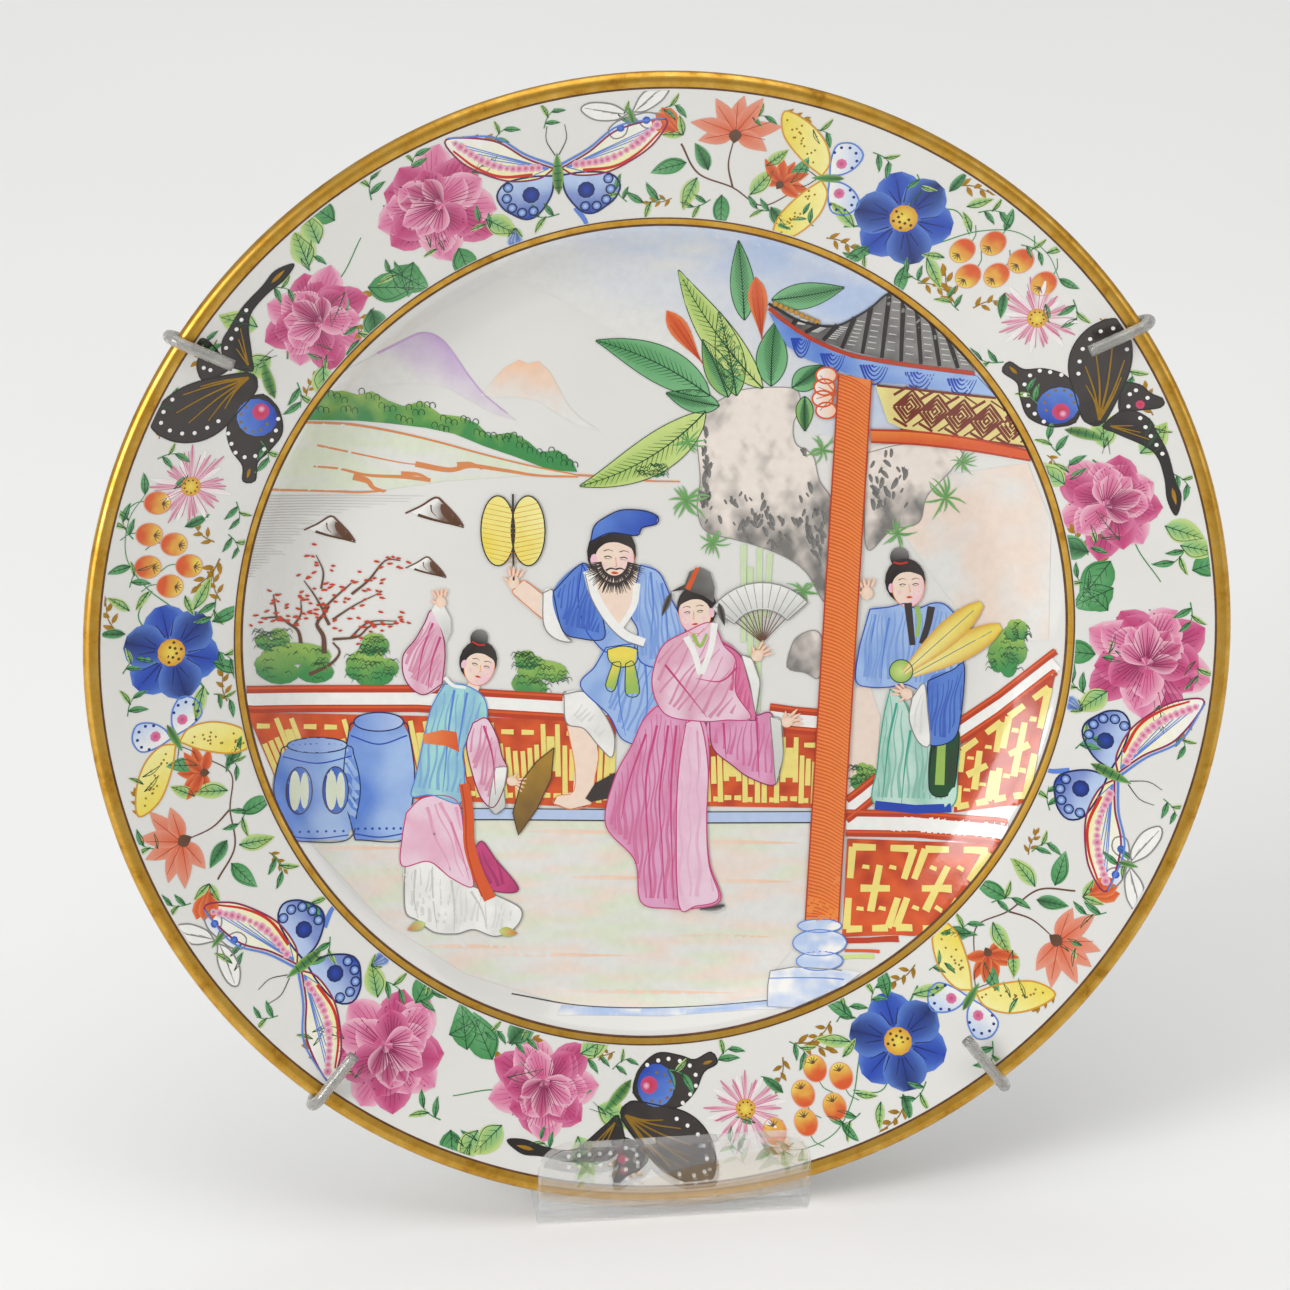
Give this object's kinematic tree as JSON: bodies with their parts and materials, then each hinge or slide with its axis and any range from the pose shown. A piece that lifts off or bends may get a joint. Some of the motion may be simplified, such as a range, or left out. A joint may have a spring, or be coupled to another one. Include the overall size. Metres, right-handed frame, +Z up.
{
  "type": "plate display stand",
  "caption": "Bent clear acrylic easel carrying a dinner plate that a sprung wire plate hanger grips by the rim with sleeved hooks.",
  "frame": {"origin": "on the supporting surface, under the middle of the plate from left to right and midway between the front of the easel's lip and the back of its rear leg", "axes": "+X to the viewer's right along the plate's width, +Y from the plate's face to its back, +Z up"},
  "size_m": [0.25, 0.1142, 0.2449],
  "materials": {
    "acrylic": "clear cast acrylic sheet, polished, heat-bent",
    "porcelain": "glossy glaze with gilt rim and raised enamel colours",
    "hanger_steel": "drawn galvanised wire, satin",
    "vinyl": "translucent vinyl tube, satin"
  },
  "bodies": {
    "easel": {"acrylic_easel": "acrylic"},
    "plate": {"display_plate": "porcelain", "upper_hanger_wire": "hanger_steel", "sleeve_upper_left": "vinyl", "sleeve_upper_right": "vinyl", "left_spring": "hanger_steel", "right_spring": "hanger_steel"},
    "lower_hook": {"lower_hanger_wire": "hanger_steel", "sleeve_lower_left": "vinyl", "sleeve_lower_right": "vinyl"}
  },
  "joints": [
    {"name": "plate_lift", "type": "slide", "parent": "easel", "child": "plate", "axis": [0, 0.2588, 0.9659], "range_m": [0, 0.12]},
    {"name": "lower_hook_pull", "type": "slide", "parent": "plate", "child": "lower_hook", "axis": [-0.0332, -0.2587, -0.9654], "range_m": [0, 0.018], "stiffness_N_per_m": 300, "springref_m": -0.03, "deforming": ["left_spring", "right_spring"]}
  ]
}
